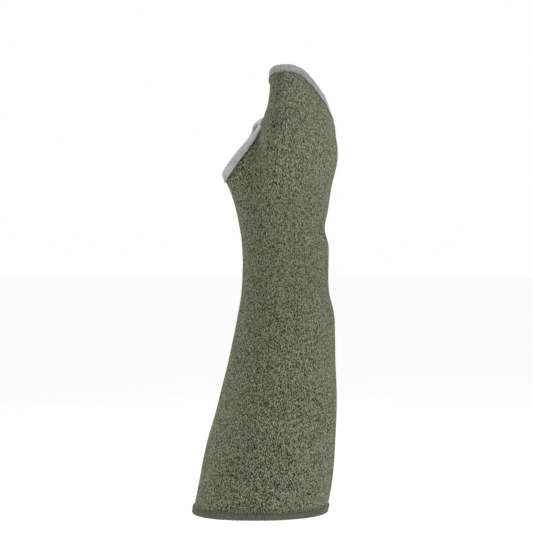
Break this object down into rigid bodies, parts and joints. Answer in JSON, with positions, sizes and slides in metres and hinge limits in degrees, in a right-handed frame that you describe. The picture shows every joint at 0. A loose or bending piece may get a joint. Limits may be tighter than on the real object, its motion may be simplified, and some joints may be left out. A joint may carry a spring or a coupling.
{
  "type": "cut resistant sleeve",
  "caption": "Heather knit protective sleeve for forearm, wrist and palm, with a thumb hole and light bound edges, shown in its worn shape.",
  "frame": {"origin": "centre of the wrist inside the sleeve, where a wearer's wrist holds it", "axes": "+Z from the elbow to the fingers, +X to the back of the hand, -X to the palm and thumb, -Y to the index finger"},
  "size_m": [0.1016, 0.0939, 0.3055],
  "materials": {
    "knit": "heather weft knit of yellow-green and dark grey yarn, matt",
    "binding": "light grey overlock thread, matt",
    "hem": "overlock thread in the colour of the knit, matt"
  },
  "bodies": {
    "root": {"sleeve_body": "knit", "finger_binding": "binding", "thumb_binding": "binding", "arm_hem": "hem"}
  },
  "joints": []
}
